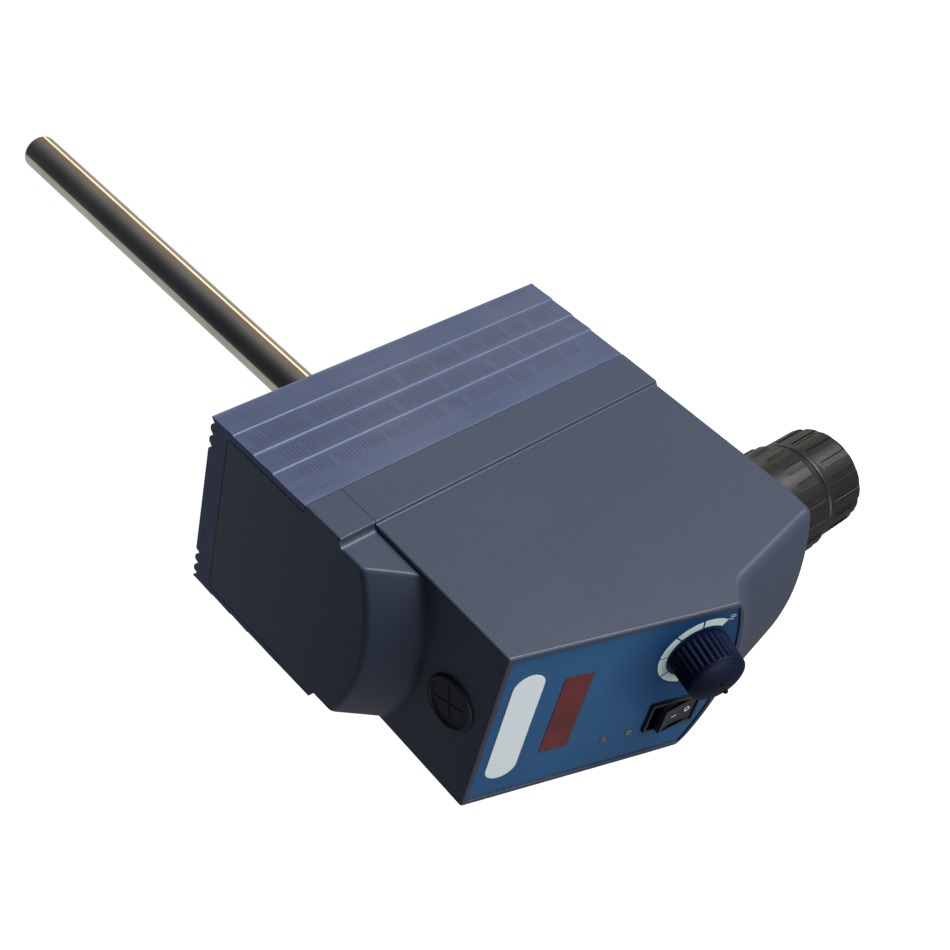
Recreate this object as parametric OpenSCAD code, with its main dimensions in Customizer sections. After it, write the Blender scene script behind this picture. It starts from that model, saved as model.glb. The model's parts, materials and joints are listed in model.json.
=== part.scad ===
// Laboratory overhead stirrer, in its working position: support rod level and
// pointing back (+Y), control panel facing front (-Y), chuck pointing down (-Z).
// The origin lies on the support rod's axis, in the plane of the rear face.

/* [Rear block] */
// Width across the rear extrusion and the band
body_w = 83; // [82:0.5:84]
// Height of the top face above the rod axis
top_z = 70; // [69:0.5:71]
// Depth of the bottom face below the rod axis
bottom_z = 92; // [91:0.5:93]
// Depth of the extrusion from the rear face to the band
extrusion_d = 52.1; // [51.8:0.1:52.4]
// Thickness of the extrusion's rear wall
rear_wall = 9.9; // [9.8:0.1:10]
// Thickness of the extrusion's side walls
side_wall = 3.3; // [3:0.1:3.5]

/* [Front housing] */
// Distance of the band's front edge from the rear face
band_d = 71; // [70.8:0.1:71.2]
// Half width of the front housing
front_half = 40.2; // [40:0.1:40.3]
// Wall thickness of the plastic housing
wall = 3; // [2.8:0.1:3.2]
// Angle by which the control panel leans back
panel_tilt = 17.7; // [17.5:0.1:17.9]
// Distance of the panel's top edge from the rear face
panel_y = 139.8; // [139.6:0.1:140]
// Height of the panel's top edge above the rod axis
panel_z = 57; // [56.9:0.1:57.1]

/* [Support rod] */
// Diameter of the support rod
rod_d = 16; // [15:0.5:16]
// Free length of the support rod
rod_len = 220; // [180:5:260]

/* [Drive] */
// Distance of the spindle axis from the rear face
spindle_y = 122.6; // [122.4:0.1:122.8]
// Distance of the motor axis from the rear face
motor_y = 50; // [49.8:0.1:50.2]
// Outer diameter of the hollow spindle
spindle_d = 17; // [16.8:0.1:17]
// Diameter of the spindle's through bore
bore_d = 10.5; // [10.2:0.1:10.6]
// Teeth on the motor's pulley
drive_teeth = 24; // [20:1:26]
// Teeth on the spindle's pulley
driven_teeth = 40; // [36:1:44]

/* [Chuck] */
// Outer diameter of the chuck's upper grip ring
ring_d = 46.6; // [46:0.2:47]
// Outer diameter of the turning sleeve
sleeve_d = 43.6; // [43:0.2:44]
// Distance of the chuck's end below the rod axis
chuck_z = 156.9; // [156.8:0.1:157]
// Number of flutes round the sleeve
flutes = 18; // [16:1:20]

/* [Controls] */
// Place of the speed knob across the panel
knob_x = 18; // [17.5:0.1:18.5]
// Place of the speed knob down the panel
knob_s = 80.9; // [80.5:0.1:81.5]
// Diameter of the speed knob
knob_d = 23.2; // [22.5:0.1:23.6]
// Number of ribs round the speed knob
knob_ribs = 30; // [24:1:32]
// Place of the power switch across the panel
switch_x = -16.3; // [-16.6:0.1:-16]
// Place of the power switch down the panel
switch_s = 81.1; // [80.9:0.1:81.3]
// Tilt of the rocker in its off position
rocker_tilt = 12; // [10:0.5:13]

/* [Hidden] */
$fn = 72;

zt = top_z;
zb = -bottom_z;
hw = body_w/2;
sp = [0, -spindle_y, 0];
mo = [0, -motor_y, 0];
seam_z = 54.3;                 // seam between the top cap and the band
roof = (panel_z - seam_z)/(panel_y - band_d);   // slope of the housing's roof
kd = knob_d/2;
rs = spindle_d/2;
pitch_r1 = drive_teeth/2;
pitch_r2 = driven_teeth/2;
belt_t = 1.5;
jaw_r = 3.2;
jaw_tilt = 18;
jaw_len = 26;
jaw_travel = 16;
tip_z = -(chuck_z - 2.9);      // jaw tips when open
tip_r = 5.09;                  // radius of the jaw's axis at its tip when open

// Extrudes a side profile, points [y, z], across the width w.
module across(pts, w) {
  translate([-w/2, 0, 0]) rotate([90, 0, 90]) linear_extrude(w) polygon(pts);
}
// Box between two corners.
module block(a, b) { translate(a) cube(b - a); }
// Cylinder between two heights round the axis at p.
module barrel(p, z0, z1, r) { translate([p[0], p[1], z0]) cylinder(h = z1 - z0, r = r); }
module pipe(p, z0, z1, ro, ri) {
  difference() { barrel(p, z0, z1, ro); barrel(p, z0 - 1, z1 + 1, ri); }
}
// Panel frame: x across, y up along the face, z outward from it.
module on_panel() {
  translate([0, -panel_y, panel_z]) rotate([90 - panel_tilt, 0, 0]) children();
}
module at_knob() { on_panel() translate([knob_x, -knob_s, 0]) children(); }
module at_switch() { on_panel() translate([switch_x, -switch_s, 0]) children(); }
module ring_of(n, r, a0 = 0) {
  for (i = [0:n - 1]) rotate(a0 + i*360/n) translate([r, 0, 0]) children();
}
// Outline of the control panel, shrunk by d; the lower edge is a shallow arc.
function low(x) = -(100.9 - 0.0055*x*x);
module panel_outline(d) {
  w = front_half - d;
  polygon(concat([[w, -d], [-w, -d]], [for (i = [-8:8]) [i/8*w, low(i/8*w) + d*0.78]]));
}
module stadium(w, h) {
  square([w - h, h], center = true);
  for (s = [-1, 1]) translate([s*(w - h)/2, 0]) circle(d = h);
}

// ---------------------------------------------------------------- casings

// Right half of the extrusion's outline, from the rear face's middle round to
// the middle of the rear wall's inner side.
function notch(x) = [[x - 1, 0], [x, -2.7], [x + 2.5, 0]];
side_pts = concat([[0, 0]], notch(27.1), notch(32.7), notch(38.3),
  [[hw - 0.35, -0.5], [hw - 0.4, -6], [hw - 0.05, -11.6], [hw, -12], [hw - 0.5, -12.2],
   [hw - 0.4, -18], [hw - 0.05, -23.2], [hw, -23.6], [hw - 0.5, -23.8],
   [hw - 0.4, -29], [hw - 0.05, -34], [hw, -34.4], [hw - 0.5, -34.6],
   [hw - 0.35, -44], [hw - 0.05, -51.6], [hw, -extrusion_d],
   [hw - side_wall, -extrusion_d], [hw - side_wall, -rear_wall], [0, -rear_wall]]);
module rear_extrusion() color([0.24, 0.26, 0.44]) {
  difference() {
    translate([0, 0, zb]) linear_extrude(zt - zb) polygon(concat(side_pts,
      [for (i = [len(side_pts) - 2:-1:1]) [-side_pts[i][0], side_pts[i][1]]]));
    // spigot hole of the rod
    rotate([90, 0, 0]) translate([0, 0, -1]) cylinder(h = rear_wall + 2, r = 6);
    // screw holes with counterbores
    for (x = [-26, 26], z = [-74, -34]) translate([x, 0, z]) rotate([90, 0, 0]) {
      translate([0, 0, -1]) cylinder(h = rear_wall + 2, r = 2.1);
      translate([0, 0, -1]) cylinder(h = 5, r = 4);
    }
    // inlet and fuse cut-outs
    block([-14.2, -rear_wall - 1, 44.8], [14.2, 1, 65.2]);
    block([17.8, -rear_wall - 1, 47.8], [24.2, 1, 62.2]);
  }
}

// The raised neck: its front is part of a cone about a vertical axis in the block.
module neck_solid(o) {
  translate([0, -16, 0]) rotate_extrude($fn = 144) polygon([[0, 40],
    [91.4 - o, 40], [91.4 - o, 55.2], [90.2 - o, 56.2 - o*0.3], [88.4 - o, 57.8 - o*0.5],
    [77.9 - o*1.2, 68 - o*0.9], [76.9 - o*1.2, 69 - o], [75.4 - o*1.2, zt - o], [0, zt - o]]);
}
module top_cap() color([0.30, 0.32, 0.40]) difference() {
  union() {
    block([-hw, -band_d, seam_z], [hw, -extrusion_d, zt]);
    intersection() {
      neck_solid(0);
      block([-38, -120, 40], [38, -band_d + 1, zt]);
    }
    block([-hw + side_wall, -extrusion_d, zt - 3], [hw - side_wall, -rear_wall, zt]);
  }
  // the roof of the front housing, which the cap stands on
  across([[-51, seam_z], [-band_d, seam_z], [-125, seam_z + roof*(125 - band_d)],
    [-125, 30], [-51, 30]], 100);
  // hollow inside
  intersection() {
    neck_solid(2.5);
    union() {
      block([-35.5, -110, 40], [35.5, -band_d + 3, zt - 3]);
      block([-hw + 3, -band_d + 2.5, 40], [hw - 3, -extrusion_d - 2.5, zt - 3]);
    }
  }
}
module bottom_cap() color([0.30, 0.32, 0.40]) difference() {
  block([-hw + side_wall, -extrusion_d, zb], [hw - side_wall, -rear_wall, zb + 3]);
  for (x = [-26, 26]) translate([x, -40, zb - 1]) cylinder(h = 6, r = 1.9);
  for (i = [-3:3]) translate([i*6, -29, zb - 1]) linear_extrude(6)
    rotate(90) stadium(20, 2.6);
}

// Side outline of the front housing at its flanks, points [y, z].
side_out = [[-extrusion_d, zb], [-extrusion_d, seam_z], [-band_d, seam_z],
  [-panel_y, panel_z], [-167.4, -29.4], [-163.4, -33.9], [-161, -37.9], [-159.6, -41.8],
  [-158.9, -46.1], [-158.4, -50.7], [-155.8, -67.6], [-153.4, -82.9], [-152.3, -87.6],
  [-150.5, -90.4], [-147.2, zb]];
// Nose: a large cylinder leaning with the front, behind the panel's plane.
module nose(o) {
  intersection() {
    translate([0, -83.2, -23]) rotate([180 + 10.86, 0, 0])
      translate([0, 0, -90]) cylinder(h = 200, r = 88.1 - o, $fn = 180);
    across([[-110, zb + o], [-110, -28], [-166.9 + o, -28], [-171.5 + o, -42.6],
      [-171.5 + o, zb + 4 + o], [-166.5 + o, zb + o]], 2*(front_half - o));
  }
}
module front_housing() color([0.30, 0.32, 0.40]) difference() {
  union() {
    across(side_out, 2*front_half);
    across([[-extrusion_d, zb], [-extrusion_d, seam_z], [-band_d, seam_z], [-band_d, zb]], body_w);
    nose(0);
    // lip under the control panel
    on_panel() translate([0, 0, -6]) linear_extrude(6) intersection() {
      panel_outline(0.3);
      translate([-45, -110]) square([90, 35]);
    }
  }
  // hollow
  across([[-extrusion_d + 1, zb + wall], [-extrusion_d + 1, seam_z - wall],
    [-band_d, seam_z - wall], [-134.2, panel_z - wall - 0.4], [-161.9, -31.6],
    [-157, -34], [-154.4, -49.3], [-152.4, -63.5], [-149.8, -78.4], [-147.5, -86.5],
    [-145, zb + wall]], 2*(front_half - wall));
  intersection() {
    nose(wall);
    across([[-120, zb + wall], [-120, -33], [-161.9, -31.6], [-163.4, -36.4],
      [-180, -60], [-180, zb + wall]], 100);
  }
  // recess and opening for the control panel
  on_panel() {
    translate([0, 0, -2.6]) linear_extrude(10) panel_outline(2.6);
    translate([0, 0, -20]) linear_extrude(30) panel_outline(6.5);
  }
  // spindle opening, plug seat, screw holes
  barrel(sp, zb - 1, zb + wall + 1, 16);
  barrel(sp, 55.5, 70, 11);
  barrel(sp, 40, 70, 9);
  for (x = [-26, 26]) barrel([x, -98], zb - 1, zb + wall + 1, 1.9);
}

// ---------------------------------------------------------------- control panel

module control_panel() color([0.18, 0.33, 0.51]) on_panel() difference() {
  translate([0, 0, -2.6]) linear_extrude(2) panel_outline(2.7);
  translate([0.5, -32.2, -3]) linear_extrude(3) square([41.2, 11.6], center = true);
  for (p = [[-23.4, -54.4], [-22.9, -64.9]])
    translate([p[0], p[1], -3]) cylinder(h = 3, r = 1.6);
  translate([switch_x, -switch_s, -3]) linear_extrude(3) square([14.2, 20.4], center = true);
  translate([knob_x, -knob_s, -3]) cylinder(h = 3, r = 4.6);
}
module label_plate() color([0.84, 0.87, 0.86]) on_panel()
  translate([-0.3, -12.1, -0.6]) linear_extrude(0.25) stadium(56, 12.2);
module display_window() color([0.42, 0.16, 0.18]) on_panel()
  translate([0.5, -32.2, -2.6]) linear_extrude(2.1) square([41, 11.4], center = true);
module display_module() color([0.14, 0.13, 0.13]) on_panel() {
  translate([0.5, -32.2, -10]) linear_extrude(6) square([40, 11], center = true);
  for (i = [-1.5:1.5]) translate([0.5 + i*9.6, -32.2, -4]) linear_extrude(0.6)
    square([7.6, 9.6], center = true);
}
module lens(x, s) on_panel() translate([x, -s, -6]) {
  cylinder(h = 5.6, r = 1.5);
  cylinder(h = 3.2, r = 2.1);
}
module overload_lens() color([0.45, 0.42, 0.42]) lens(-23.4, 54.4);
module power_lens() color([0.42, 0.50, 0.40]) lens(-22.9, 64.9);
// Six printed arcs of 36 degrees, with gaps, round the knob.
module dial_scale() color([0.80, 0.84, 0.83]) at_knob() translate([0, 0, -0.6])
  for (i = [0:5]) rotate(-28.6 + i*40) rotate_extrude(angle = 37.2, $fn = 144)
    translate([12.8, 0]) square([3.3, 0.2]);

module switch_frame() color([0.10, 0.10, 0.11]) at_switch() difference() {
  union() {
    translate([0, 0, -0.6]) linear_extrude(1.5) square([15.5, 21.4], center = true);
    translate([0, 0, -16]) linear_extrude(15.6) square([13.9, 20.1], center = true);
    for (y = [-6, 0, 6]) translate([-0.4, y - 2.4, -19]) cube([0.8, 4.8, 3.2]);
  }
  translate([0, 0, -12]) linear_extrude(15) square([13, 19.4], center = true);
}
// Rocker with a hollowed top, tipped to its off position about a low pivot.
module switch_rocker() color([0.12, 0.12, 0.13]) at_switch()
  translate([0, 0, -5.5]) rotate([rocker_tilt, 0, 0]) {
    translate([-6.2, 0, 0]) rotate([90, 0, 90]) linear_extrude(12.4)
      polygon([[-7.7, 2], [-8, 7.8], [-5.5, 7.15], [-2, 6.75], [2, 6.75], [5.5, 7.15],
        [8, 7.8], [7.7, 2], [5.5, -2], [2, -3.4], [-2, -3.4], [-5.5, -2]]);
    rotate([0, 90, 0]) translate([0, 0, -6.4]) cylinder(h = 12.8, r = 1.2);
  }

module pot_body() color([0.35, 0.36, 0.33]) at_knob() difference() {
  union() {
    translate([0, 0, -13]) cylinder(h = 10.3, r = 8);
    translate([0, 0, -3]) cylinder(h = 6.5, r = 4.5);
    translate([-7, -12, -12]) cube([14, 6, 1.6]);
  }
  translate([0, 0, -11.5]) cylinder(h = 20, r = 3.05);
}
module pot_nut() color([0.72, 0.72, 0.70]) at_knob() translate([0, 0, -0.6])
  difference() { cylinder(h = 2.2, r = 6.4, $fn = 6); translate([0, 0, -1]) cylinder(h = 5, r = 4.55); }
module pot_shaft() color([0.72, 0.72, 0.70]) at_knob()
  translate([0, 0, -11.2]) cylinder(h = 20, r = 3);
module speed_knob() color([0.11, 0.12, 0.27]) at_knob() difference() {
  translate([0, 0, 0.4]) cylinder(h = 11.4, r1 = kd, r2 = kd - 0.4, $fn = 90);
  ring_of(knob_ribs, kd + 0.25) translate([0, 0, -0.5]) cylinder(h = 12, r = 0.85, $fn = 16);
  translate([0, 0, -1]) cylinder(h = 5.4, r = 7.6);
  translate([0, 0, -1]) cylinder(h = 9.9, r = 3);
}
module knob_cap() color([0.12, 0.13, 0.26]) at_knob() difference() {
  union() {
    translate([0, 0, 11.8]) rotate_extrude($fn = 90) polygon([[0, 0], [kd - 0.7, 0],
      [kd - 0.4, 0.3], [kd - 0.5, 0.8], [kd - 1.2, 1.4], [kd - 2.6, 2.1], [kd - 5, 2.9],
      [kd - 8, 3.5], [0, 3.9]]);
    // index nib, at the low end of the scale
    rotate(216) translate([8.2, 0, 12.6]) cylinder(h = 2.6, r = 0.6, $fn = 24);
  }
  translate([0, 0, 15.2]) cylinder(h = 2, r = 0.5, $fn = 24);
}
module control_board() color([0.10, 0.32, 0.18]) on_panel() difference() {
  translate([0, -44, -11.6]) linear_extrude(1.6) square([64, 46], center = true);
  for (x = [-29, 29], y = [-24, -63]) translate([x, y, -13]) cylinder(h = 4, r = 1.6);
}
// Four screws, each with its standoff, that carry the board behind the panel.
module panel_screws() color([0.70, 0.70, 0.68]) on_panel()
  for (x = [-29, 29], y = [-24, -63]) translate([x, y, 0]) {
    translate([0, 0, -10]) cylinder(h = 7.4, r = 2.6);
    translate([0, 0, -13.2]) cylinder(h = 4, r = 1.5);
    translate([0, 0, -13.2]) cylinder(h = 1.6, r = 2.8);
  }

// ---------------------------------------------------------------- electronics

module power_board() color([0.10, 0.32, 0.18]) block([-33, -83.6, -14], [33, -82, 44]);
module board_parts() color([0.20, 0.20, 0.22]) {
  for (p = [[-22, 30], [-22, 14]]) translate([p[0], -83.6, p[1]]) rotate([90, 0, 0])
    cylinder(h = 16, r = 6.2);
  block([2, -101, 8], [28, -83.6, 34]);
  for (i = [0:5]) block([-30 + i*4, -97, -11], [-28.4 + i*4, -86.1, 3]);
  block([-31, -86.1, -12], [-7, -83.6, 4]);
}
module board_brackets() color([0.62, 0.63, 0.65]) for (x = [-30, 24])
  difference() {
    block([x, -86, -22], [x + 6, -78, -12]);
    block([x - 1, -83.65, -14.05], [x + 7, -81.95, 0]);
  }
module power_inlet() color([0.10, 0.10, 0.11]) difference() {
  union() {
    block([-14, -24, 45], [14, 0, 65]);
    block([-16.5, 0, 42.5], [16.5, 2, 67.5]);
  }
  block([-12, -17, 48], [12, 3, 62]);
}
module inlet_pins() color([0.78, 0.75, 0.62]) {
  for (p = [[-7, 53], [7, 53], [0, 57]]) block([p[0] - 1, -28, p[1] - 2], [p[0] + 1, -24, p[1] + 2]);
  for (p = [[-7, 53], [7, 53], [0, 57]]) block([p[0] - 1, -17, p[1] - 2], [p[0] + 1, -5, p[1] + 2]);
}
module fuse_drawer() color([0.12, 0.12, 0.13]) {
  block([18, -22, 48], [24, 0, 62]);
  block([17, 0, 47], [25, 1.4, 63]);
}

// ---------------------------------------------------------------- chassis and drive

module plate_outline() {
  translate([-33, -104]) square([66, 104 - rear_wall]);
  translate([0, -spindle_y]) circle(r = 23.5);
  polygon([[-33, -103], [-21, -133], [21, -133], [33, -103]]);
}
module chassis() color([0.66, 0.67, 0.69]) difference() {
  union() {
    translate([0, 0, -84]) linear_extrude(8) plate_outline();
    translate([0, 0, -30]) linear_extrude(8) plate_outline();
    block([-33, -rear_wall - 6, -84], [33, -rear_wall, -22]);
    for (x = [-28, 28]) barrel([x, -98], -77, -29, 4);
    for (x = [-26, 26]) {
      barrel([x, -98], zb + wall, -83, 4);
      barrel([x, -40], zb + wall, -83, 4);
    }
  }
  barrel(sp, -85, -75, 17.5);
  barrel(sp, -31, -21, 17.5);
  barrel(mo, -31, -21, 14.2);
  for (a = [45:90:315]) barrel([mo[0] + 20*cos(a), mo[1] + 20*sin(a)], -31, -21, 1.6);
  for (x = [-26, 26]) { barrel([x, -98], -90, -75, 1.6); barrel([x, -40], -90, -75, 1.6); }
  for (x = [-26, 26], z = [-74, -34]) translate([x, -5, z]) rotate([90, 0, 0]) cylinder(h = 14, r = 2.1);
}
module chassis_screws() color([0.55, 0.55, 0.56])
  for (x = [-26, 26], z = [-74, -34]) translate([x, 0, z]) rotate([90, 0, 0]) {
    difference() {
      translate([0, 0, 1]) cylinder(h = 3, r = 3.6);
      translate([0, 0, 0]) cylinder(h = 2.6, r = 1.6, $fn = 6);
    }
    translate([0, 0, 3.5]) cylinder(h = 11, r = 2);
  }
module housing_screws() color([0.30, 0.30, 0.32])
  for (p = [[-26, -98], [26, -98], [-26, -40], [26, -40]]) difference() {
    union() { barrel(p, zb - 1.6, zb, 3.1); barrel(p, zb - 1, -78, 1.5); }
    translate([p[0], p[1], zb - 2]) { cube([0.8, 3.6, 1.9], center = true); cube([3.6, 0.8, 1.9], center = true); }
  }
module motor_can() color([0.20, 0.21, 0.22]) difference() {
  barrel(mo, -22, 38, 27);
  barrel(mo, -18, 39, 25);
  barrel(mo, -23, -17, 11);
  for (a = [45:90:315]) barrel([mo[0] + 20*cos(a), mo[1] + 20*sin(a)], -23, -17, 1.6);
}
module motor_endbell() color([0.30, 0.31, 0.32]) difference() {
  barrel(mo, 38, 42, 27);
  barrel(mo, 37, 41, 11);
  ring_of(1, 0) for (a = [0:45:315]) barrel([mo[0] + 19*cos(a), mo[1] + 19*sin(a)], 37, 43, 2.6);
}
module motor_stator() color([0.72, 0.45, 0.20]) difference() {
  pipe(mo, -12, 30, 24.95, 15.5);
  for (a = [0:40:320]) translate([mo[0], mo[1], -13]) rotate(a) translate([15, -1.5, 0]) cube([6, 3, 44]);
}
module motor_rotor() color([0.62, 0.63, 0.66]) {
  barrel(mo, -66, 40, 4);
  barrel(mo, -10, 28, 15);
}
module motor_bearings() color([0.75, 0.75, 0.76]) {
  pipe(mo, -21.8, -16.8, 10.98, 4.05);
  pipe(mo, 36, 40.9, 10.98, 4.05);
}
module motor_screws() color([0.55, 0.55, 0.56])
  for (a = [45:90:315]) {
    p = [mo[0] + 20*cos(a), mo[1] + 20*sin(a)];
    barrel(p, -33, -30, 2.8);
    barrel(p, -31, -18.2, 1.5);
  }
// Toothed pulley with two flanges.
module pulley(p, z0, z1, r, n, b, hub) difference() {
  union() {
    barrel(p, z0, z1, r);
    barrel(p, z0, z0 + 1.4, r + 2);
    barrel(p, z1 - 1.4, z1, r + 2);
    barrel(p, z0 - 4, z0 + 1, hub);
  }
  barrel(p, z0 - 6, z1 + 1, b);
  translate([p[0], p[1], z0 + 2]) ring_of(n, r + 0.1) cylinder(h = z1 - z0 - 4, r = 0.7, $fn = 16);
}
module drive_pulley() color([0.74, 0.75, 0.77]) pulley(mo, -60, -46, pitch_r1 - 0.3, drive_teeth, 4, 7.5);
module driven_pulley() color([0.74, 0.75, 0.77]) pulley(sp, -60, -46, pitch_r2 - 0.3, driven_teeth, rs, 13);
// Closed belt outline round both pulleys, widened by o.
function belt_points(o) = let (d = spindle_y - motor_y, g = asin((pitch_r2 - pitch_r1)/d))
  concat([for (i = [0:24]) let (q = 180 - g - i*(180 - 2*g)/24)
      [(pitch_r1 + o)*cos(q), -motor_y + (pitch_r1 + o)*sin(q)]],
    [for (i = [0:36]) let (q = g - i*(180 + 2*g)/36)
      [(pitch_r2 + o)*cos(q), -spindle_y + (pitch_r2 + o)*sin(q)]]);
module drive_belt() color([0.08, 0.08, 0.09]) translate([0, 0, -58]) linear_extrude(10)
  difference() { polygon(belt_points(belt_t)); polygon(belt_points(0)); }

// ---------------------------------------------------------------- spindle

module spindle() color([0.72, 0.73, 0.75]) difference() {
  barrel(sp, -118, 46, rs);
  barrel(sp, -119, 47, bore_d/2);
}
module upper_bearing_outer() color([0.78, 0.78, 0.79]) pipe(sp, -30, -22, 17.45, 13);
module upper_bearing_inner() color([0.70, 0.70, 0.71]) pipe(sp, -30, -22, 12.7, rs);
module lower_bearing_outer() color([0.78, 0.78, 0.79]) pipe(sp, -84, -76, 17.45, 13);
module lower_bearing_inner() color([0.70, 0.70, 0.71]) pipe(sp, -84, -76, 12.7, rs);
module spindle_circlips() color([0.35, 0.35, 0.36]) for (z = [-22, -85.2])
  difference() {
    pipe(sp, z, z + 1.2, rs + 1.8, rs);
    translate([-1.5, -spindle_y - rs - 3, z - 1]) cube([3, 6, 4]);
  }
module encoder_disc() color([0.25, 0.25, 0.27]) difference() {
  union() { pipe(sp, -14, -12.8, 15, rs); pipe(sp, -18, -12.8, 11, rs); }
  translate([0, -spindle_y, -15]) ring_of(24, 13.2) cube([2.6, 1.4, 8], center = true);
}
module speed_sensor() color([0.12, 0.12, 0.13]) difference() {
  block([-5, -110.8, -22], [5, -101, -7]);
  block([-6, -112, -15.4], [6, -106.4, -11.4]);
}
module spindle_seal() color([0.09, 0.09, 0.09]) {
  pipe(sp, zb, zb + 2.4, 15.95, 9);
}
// Plug over the spindle's upper end, with a crossed slit for a long shaft.
module shaft_plug() color([0.12, 0.12, 0.12]) difference() {
  union() {
    barrel(sp, 55.5, 57.2, 10.9);
    barrel(sp, 57.1, 57.8, 10.4);
    barrel(sp, 50.2, 55.6, 8.9);
    barrel(sp, 50.2, 52.2, 9.9);
  }
  barrel(sp, 49, 56, 7.6);
  for (a = [17, 107]) translate([0, -spindle_y, 57]) rotate(a) cube([14.6, 0.4, 4], center = true);
}

// ---------------------------------------------------------------- chuck

// Places a jaw's tilted axis; the jaw runs up from its tip along local z.
module jaw_place(a, t) {
  translate([0, -spindle_y, 0]) rotate(a)
    translate([tip_r - t*sin(jaw_tilt), 0, tip_z - t*cos(jaw_tilt)])
      rotate([0, jaw_tilt, 0]) children();
}
module chuck_body() color([0.40, 0.41, 0.42]) difference() {
  union() {
    barrel(sp, -112, -97, 13);
    barrel(sp, -149.6, -112, 17);
    barrel(sp, -155.8, -149, 11.5);
  }
  barrel(sp, -118, -90, rs);
  barrel(sp, -160, -117, bore_d/2);
  for (a = [90, 210, 330]) jaw_place(a, 0) translate([0, 0, -8]) cylinder(h = jaw_len + 9, r = jaw_r + 0.06);
}
// Round-ended pocket cut along a surface, lying across the ring's wall.
module pocket(r, z0, z1, w, depth) {
  translate([r - depth, 0, 0]) {
    translate([0, -w/2, z0]) cube([depth + 3, w, z1 - z0 - w/2]);
    translate([0, 0, z1 - w/2]) rotate([0, 90, 0]) cylinder(h = depth + 3, r = w/2, $fn = 32);
  }
}
module chuck_ring() color([0.23, 0.22, 0.21]) difference() {
  translate([0, -spindle_y, 0]) rotate_extrude($fn = 144) polygon([[13.1, -95.2],
    [ring_d/2 - 3, -95.2], [ring_d/2 - 1.6, -96.4], [ring_d/2 - 1.4, -104],
    [ring_d/2, -106], [ring_d/2, -129.4], [ring_d/2 - 0.9, -130.6],
    [ring_d/2 - 1.1, -133.2], [17.05, -133.2], [17.05, -111.9], [13.1, -111.9]]);
  translate([0, -spindle_y, 0]) for (i = [0:17]) rotate(i*20 - 7)
    pocket(ring_d/2, -131, -117, 3.8, 0.8);
}
module chuck_sleeve() color([0.20, 0.20, 0.20]) difference() {
  translate([0, -spindle_y, 0]) rotate_extrude($fn = 144) polygon([[17.35, -134.2],
    [sleeve_d/2 - 0.6, -134.2], [sleeve_d/2, -134.9], [sleeve_d/2 - 0.2, -137],
    [sleeve_d/2 - 0.3, -154.4], [sleeve_d/2 - 0.7, -156], [sleeve_d/2 - 1.7, -chuck_z],
    [12.1, -chuck_z], [12.1, -154.4], [17.35, -154.4]]);
  translate([0, -spindle_y, 0]) for (i = [0:flutes - 1]) rotate(i*360/flutes + 1)
    pocket(sleeve_d/2, -158, -137.5, 2.7, 1.1);
}
module jaw_nut() color([0.74, 0.66, 0.42]) pipe(sp, -154.4, -150, 17.35, 11.9);
module jaw(a) color([0.70, 0.70, 0.72]) translate([0, -spindle_y, 0]) rotate(a)
  translate([jaw_travel*sin(jaw_tilt), 0, jaw_travel*cos(jaw_tilt)])
    intersection() {
      translate([tip_r - jaw_travel*sin(jaw_tilt), 0, tip_z - jaw_travel*cos(jaw_tilt)])
        rotate([0, jaw_tilt, 0]) translate([0, 0, -2]) cylinder(h = jaw_len + 2, r = jaw_r);
      translate([0, 0, tip_z - jaw_travel*cos(jaw_tilt)]) linear_extrude(60)
        polygon([[0.4, -0.5], [0.4, 0.5], [30, 51.7], [30, -51.7]]);
    }
module jaw_a() jaw(90);
module jaw_b() jaw(210);
module jaw_c() jaw(330);

// ---------------------------------------------------------------- support rod

module support_rod() color([0.78, 0.76, 0.72]) rotate([-90, 0, 0]) {
  cylinder(h = rod_len - 1.2, r = rod_d/2);
  translate([0, 0, rod_len - 1.2]) cylinder(h = 1.2, r1 = rod_d/2, r2 = rod_d/2 - 1.2);
  translate([0, 0, -20]) cylinder(h = 20, r = 6);
}
module rod_nut() color([0.70, 0.70, 0.70]) rotate([90, 0, 0]) translate([0, 0, rear_wall])
  difference() { cylinder(h = 8, r = 10.4, $fn = 6); translate([0, 0, -1]) cylinder(h = 12, r = 6); }

rear_extrusion();
top_cap();
bottom_cap();
front_housing();
control_panel();
label_plate();
display_window();
display_module();
overload_lens();
power_lens();
dial_scale();
switch_frame();
switch_rocker();
pot_body();
pot_nut();
pot_shaft();
speed_knob();
knob_cap();
control_board();
panel_screws();
power_board();
board_parts();
board_brackets();
chassis();
chassis_screws();
housing_screws();
motor_can();
motor_endbell();
motor_stator();
motor_rotor();
motor_bearings();
motor_screws();
drive_pulley();
driven_pulley();
drive_belt();
spindle();
upper_bearing_outer();
upper_bearing_inner();
lower_bearing_outer();
lower_bearing_inner();
spindle_circlips();
encoder_disc();
speed_sensor();
spindle_seal();
shaft_plug();
chuck_body();
chuck_ring();
chuck_sleeve();
jaw_nut();
jaw_a();
jaw_b();
jaw_c();
support_rod();
rod_nut();
power_inlet();
inlet_pins();
fuse_drawer();
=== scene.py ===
import json
import math
import bmesh
import bpy
from mathutils import Matrix, Vector


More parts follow.
